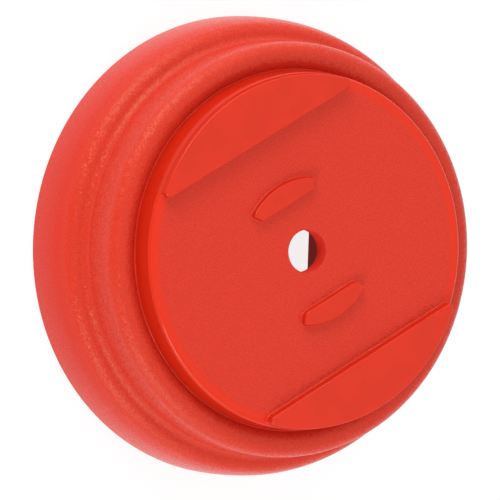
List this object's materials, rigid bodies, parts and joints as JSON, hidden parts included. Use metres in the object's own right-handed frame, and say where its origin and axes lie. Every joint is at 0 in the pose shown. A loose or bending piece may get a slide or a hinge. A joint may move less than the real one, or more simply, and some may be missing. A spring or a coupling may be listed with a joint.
{
  "type": "blind flange",
  "caption": "Round plastic blind flange: two-tier bell-shaped cap with a raised centre plate, locating pads, a clamping hole and a rear seal.",
  "frame": {"origin": "centre of the open rear rim, in the plane of the rim", "axes": "+Z along the clamping hole towards the front face, +X along the straight edges of the pads"},
  "size_m": [0.12, 0.12, 0.04],
  "materials": {
    "grained_plastic": "injection-moulded red polypropylene with a fine spark-eroded grain",
    "smooth_plastic": "injection-moulded red polypropylene, smooth on the wall and edges and finely grained on the front face",
    "seal_rubber": "black EPDM rubber, matte"
  },
  "bodies": {
    "root": {"flange_cap": "grained_plastic", "centre_plate": "smooth_plastic", "seal_ring": "seal_rubber"}
  },
  "joints": []
}
